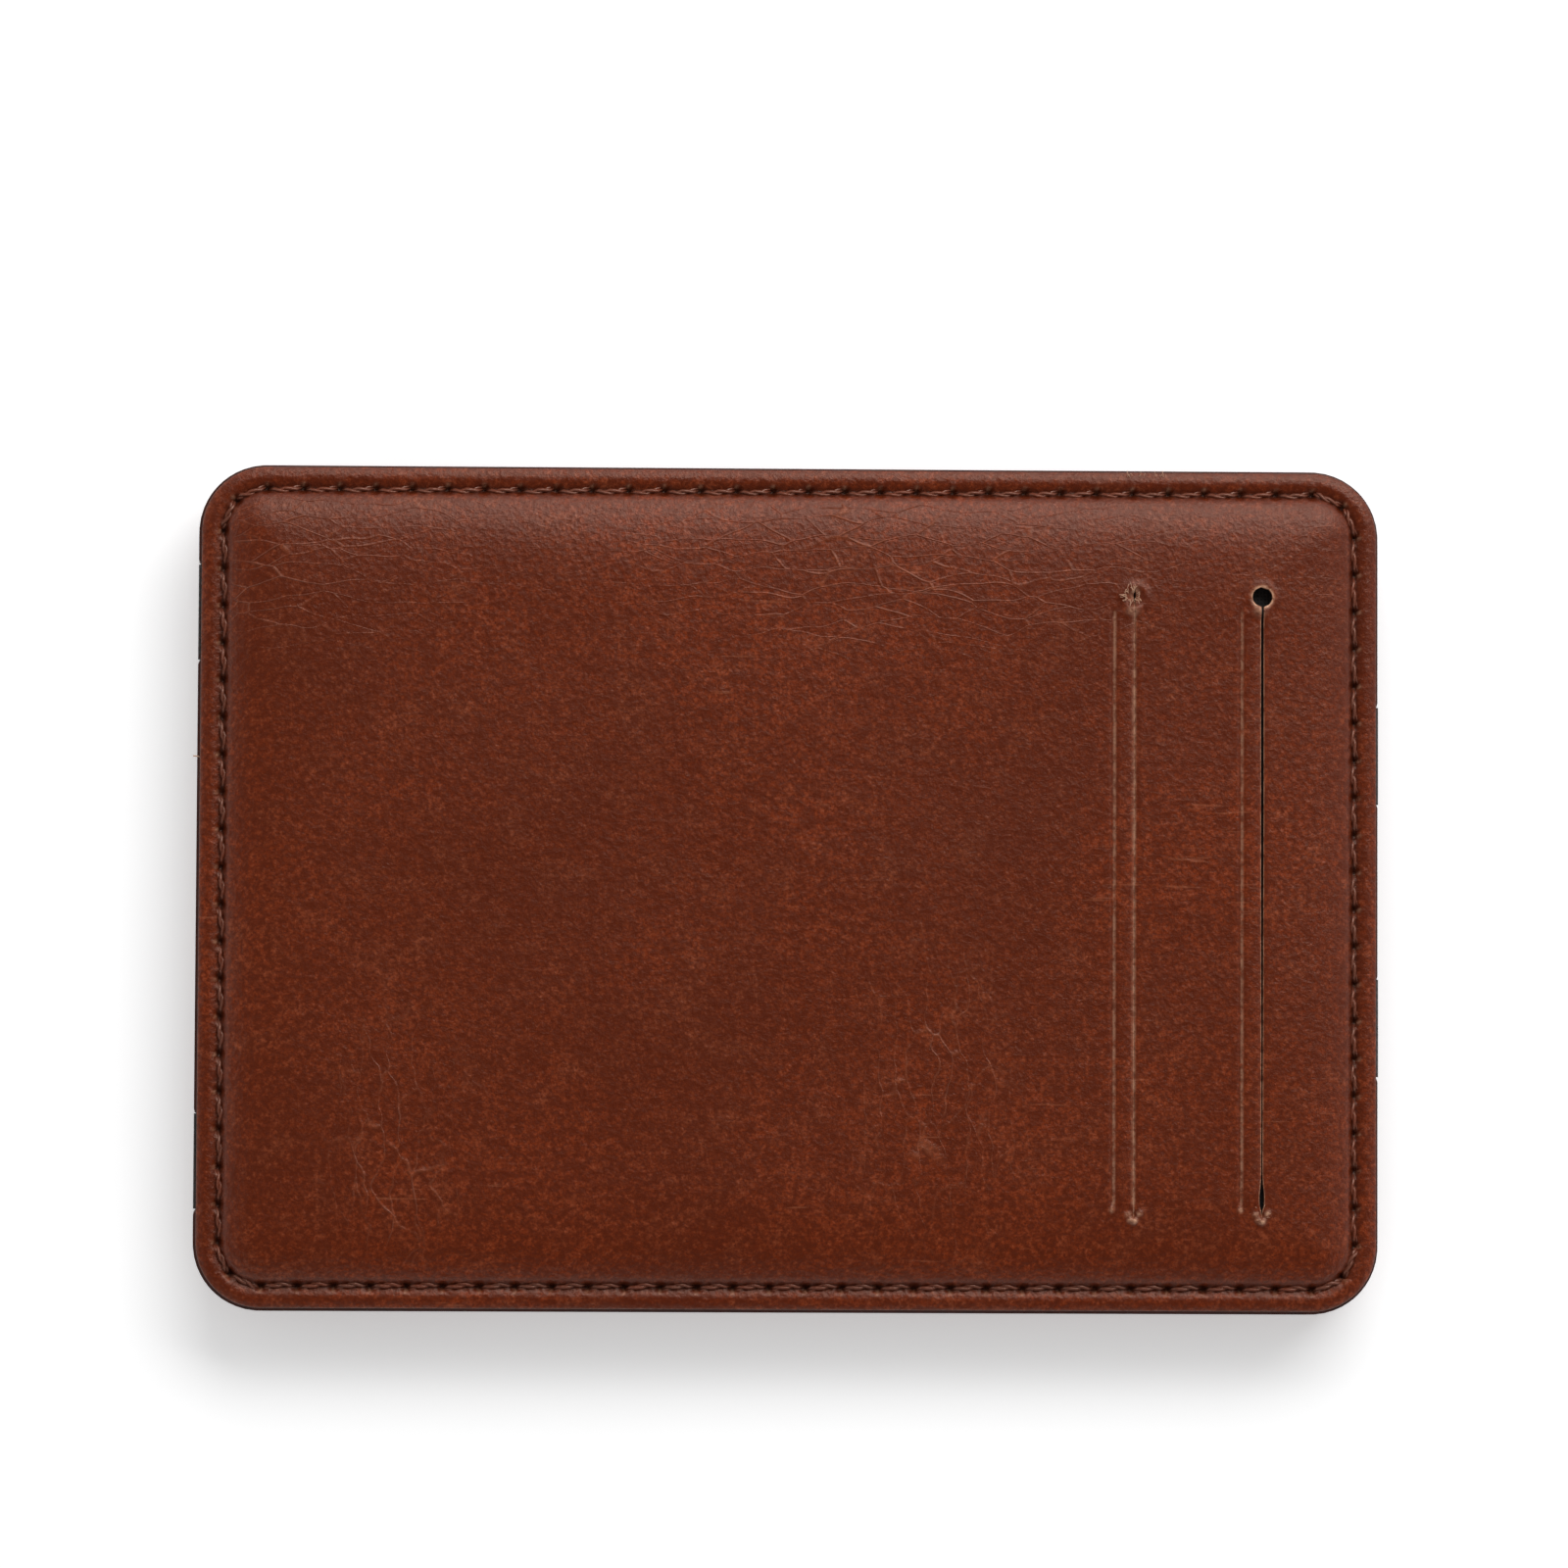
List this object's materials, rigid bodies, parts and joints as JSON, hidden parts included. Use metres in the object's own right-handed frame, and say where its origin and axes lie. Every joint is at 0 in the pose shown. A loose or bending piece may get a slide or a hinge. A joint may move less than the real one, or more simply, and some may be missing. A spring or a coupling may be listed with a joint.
{
  "type": "minimalist wallet",
  "caption": "Slim padded leather wallet of two stitched boards on crossed and parallel elastic straps, opening at either short edge, with card slits in each face.",
  "frame": {"origin": "middle of the back face of the closed wallet, which lies on Z = 0", "axes": "+X along the long side, towards the front face's card slits; +Y along the short side; +Z out of the front face"},
  "size_m": [0.112, 0.08, 0.0104],
  "materials": {
    "outer_leather": "fine grain, semi-matte, padded",
    "inner_leather": "smooth, painted edge",
    "liner_fabric": "thin woven lining",
    "foam": "soft closed-cell foam",
    "stiffener_card": "pressed board",
    "thread": "waxed two-ply thread",
    "elastic": "ribbed woven elastic"
  },
  "bodies": {
    "back_board": {"back_outer_leather": "outer_leather", "back_pocket_liner_outer": "liner_fabric", "back_pocket_liner_inner": "liner_fabric", "back_foam_pad": "foam", "back_stiffener": "stiffener_card", "back_inner_leather": "inner_leather", "back_stitching": "thread", "back_strap_ends": "elastic"},
    "crossed_straps": {"crossed_strap_over": "elastic", "crossed_strap_under": "elastic"},
    "front_board": {"front_outer_leather": "outer_leather", "front_pocket_liner_outer": "liner_fabric", "front_pocket_liner_inner": "liner_fabric", "front_foam_pad": "foam", "front_stiffener": "stiffener_card", "front_inner_leather": "inner_leather", "front_stitching": "thread", "front_strap_ends": "elastic"},
    "parallel_straps_front": {"parallel_strap_upper_front": "elastic", "parallel_strap_lower_front": "elastic"},
    "parallel_straps_back": {"parallel_strap_upper_back": "elastic", "parallel_strap_lower_back": "elastic"}
  },
  "joints": [
    {"name": "left_turn", "type": "hinge", "parent": "back_board", "child": "crossed_straps", "pos_m": [-0.0564, 0, 0.0052], "axis": [0, -1, 0], "range_deg": [0, 180]},
    {"name": "right_turn", "type": "hinge", "parent": "crossed_straps", "child": "front_board", "pos_m": [0.0564, 0, 0.0052], "axis": [0, -1, 0], "range_deg": [-180, 0]},
    {"name": "front_strap_turn", "type": "hinge", "parent": "front_board", "child": "parallel_straps_front", "pos_m": [-0.0564, 0, 0.0052], "axis": [0, -1, 0], "range_deg": [-180, 0]},
    {"name": "back_strap_turn", "type": "hinge", "parent": "back_board", "child": "parallel_straps_back", "pos_m": [0.0564, 0, 0.0052], "axis": [0, -1, 0], "range_deg": [-180, 0]}
  ],
  "couplings": [
    {"joint": "front_strap_turn", "follows": "left_turn", "ratio": -1},
    {"joint": "back_strap_turn", "follows": "right_turn", "ratio": 1}
  ]
}
